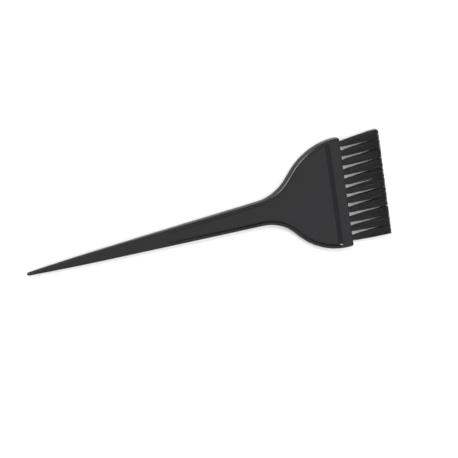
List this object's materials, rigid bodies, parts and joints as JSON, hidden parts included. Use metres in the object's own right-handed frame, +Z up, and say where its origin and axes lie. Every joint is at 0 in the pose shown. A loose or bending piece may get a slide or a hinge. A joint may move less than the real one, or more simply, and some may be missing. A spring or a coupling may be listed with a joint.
{
  "type": "tint brush",
  "caption": "Hair tint brush: a one-piece moulded rat-tail handle that flares to a flat recessed paddle, with one row of black bristle tufts along its front bar.",
  "frame": {"origin": "bottom centre of the brush's bounding box as it lies flat: under the middle of its length and width, on the surface that it rests on", "axes": "+X from the tail's tip towards the bristle ends, +Y across the head, +Z up out of the flat face"},
  "size_m": [0.215, 0.0642, 0.0052],
  "materials": {
    "handle_plastic": "fine satin moulded black plastic",
    "bristle_nylon": "black nylon filaments, semi-gloss along each filament",
    "anchor_metal": "flat drawn wire"
  },
  "bodies": {
    "handle": {"handle": "handle_plastic", "anchor_staples": "anchor_metal", "tuft_root_01": "bristle_nylon", "tuft_root_02": "bristle_nylon", "tuft_root_03": "bristle_nylon", "tuft_root_04": "bristle_nylon", "tuft_root_05": "bristle_nylon", "tuft_root_06": "bristle_nylon", "tuft_root_07": "bristle_nylon", "tuft_root_08": "bristle_nylon", "tuft_root_09": "bristle_nylon", "tuft_root_10": "bristle_nylon", "tuft_root_11": "bristle_nylon"},
    "tuft_01_free": {"tuft_01": "bristle_nylon"},
    "tuft_02_free": {"tuft_02": "bristle_nylon"},
    "tuft_03_free": {"tuft_03": "bristle_nylon"},
    "tuft_04_free": {"tuft_04": "bristle_nylon"},
    "tuft_05_free": {"tuft_05": "bristle_nylon"},
    "tuft_06_free": {"tuft_06": "bristle_nylon"},
    "tuft_07_free": {"tuft_07": "bristle_nylon"},
    "tuft_08_free": {"tuft_08": "bristle_nylon"},
    "tuft_09_free": {"tuft_09": "bristle_nylon"},
    "tuft_10_free": {"tuft_10": "bristle_nylon"},
    "tuft_11_free": {"tuft_11": "bristle_nylon"}
  },
  "joints": [
    {"name": "tuft_01_flex", "type": "hinge", "parent": "handle", "child": "tuft_01_free", "pos_m": [0.0852, -0.0278, 0.0026], "axis": [0, -1, 0], "range_deg": [-30, 30], "stiffness_Nm_per_rad": 0.0015},
    {"name": "tuft_02_flex", "type": "hinge", "parent": "handle", "child": "tuft_02_free", "pos_m": [0.0852, -0.02224, 0.0026], "axis": [0, -1, 0], "range_deg": [-30, 30], "stiffness_Nm_per_rad": 0.0015},
    {"name": "tuft_03_flex", "type": "hinge", "parent": "handle", "child": "tuft_03_free", "pos_m": [0.0852, -0.01668, 0.0026], "axis": [0, -1, 0], "range_deg": [-30, 30], "stiffness_Nm_per_rad": 0.0015},
    {"name": "tuft_04_flex", "type": "hinge", "parent": "handle", "child": "tuft_04_free", "pos_m": [0.0852, -0.01112, 0.0026], "axis": [0, -1, 0], "range_deg": [-30, 30], "stiffness_Nm_per_rad": 0.0015},
    {"name": "tuft_05_flex", "type": "hinge", "parent": "handle", "child": "tuft_05_free", "pos_m": [0.0852, -0.00556, 0.0026], "axis": [0, -1, 0], "range_deg": [-30, 30], "stiffness_Nm_per_rad": 0.0015},
    {"name": "tuft_06_flex", "type": "hinge", "parent": "handle", "child": "tuft_06_free", "pos_m": [0.0852, 0, 0.0026], "axis": [0, -1, 0], "range_deg": [-30, 30], "stiffness_Nm_per_rad": 0.0015},
    {"name": "tuft_07_flex", "type": "hinge", "parent": "handle", "child": "tuft_07_free", "pos_m": [0.0852, 0.00556, 0.0026], "axis": [0, -1, 0], "range_deg": [-30, 30], "stiffness_Nm_per_rad": 0.0015},
    {"name": "tuft_08_flex", "type": "hinge", "parent": "handle", "child": "tuft_08_free", "pos_m": [0.0852, 0.01112, 0.0026], "axis": [0, -1, 0], "range_deg": [-30, 30], "stiffness_Nm_per_rad": 0.0015},
    {"name": "tuft_09_flex", "type": "hinge", "parent": "handle", "child": "tuft_09_free", "pos_m": [0.0852, 0.01668, 0.0026], "axis": [0, -1, 0], "range_deg": [-30, 30], "stiffness_Nm_per_rad": 0.0015},
    {"name": "tuft_10_flex", "type": "hinge", "parent": "handle", "child": "tuft_10_free", "pos_m": [0.0852, 0.02224, 0.0026], "axis": [0, -1, 0], "range_deg": [-30, 30], "stiffness_Nm_per_rad": 0.0015},
    {"name": "tuft_11_flex", "type": "hinge", "parent": "handle", "child": "tuft_11_free", "pos_m": [0.0852, 0.0278, 0.0026], "axis": [0, -1, 0], "range_deg": [-30, 30], "stiffness_Nm_per_rad": 0.0015}
  ]
}
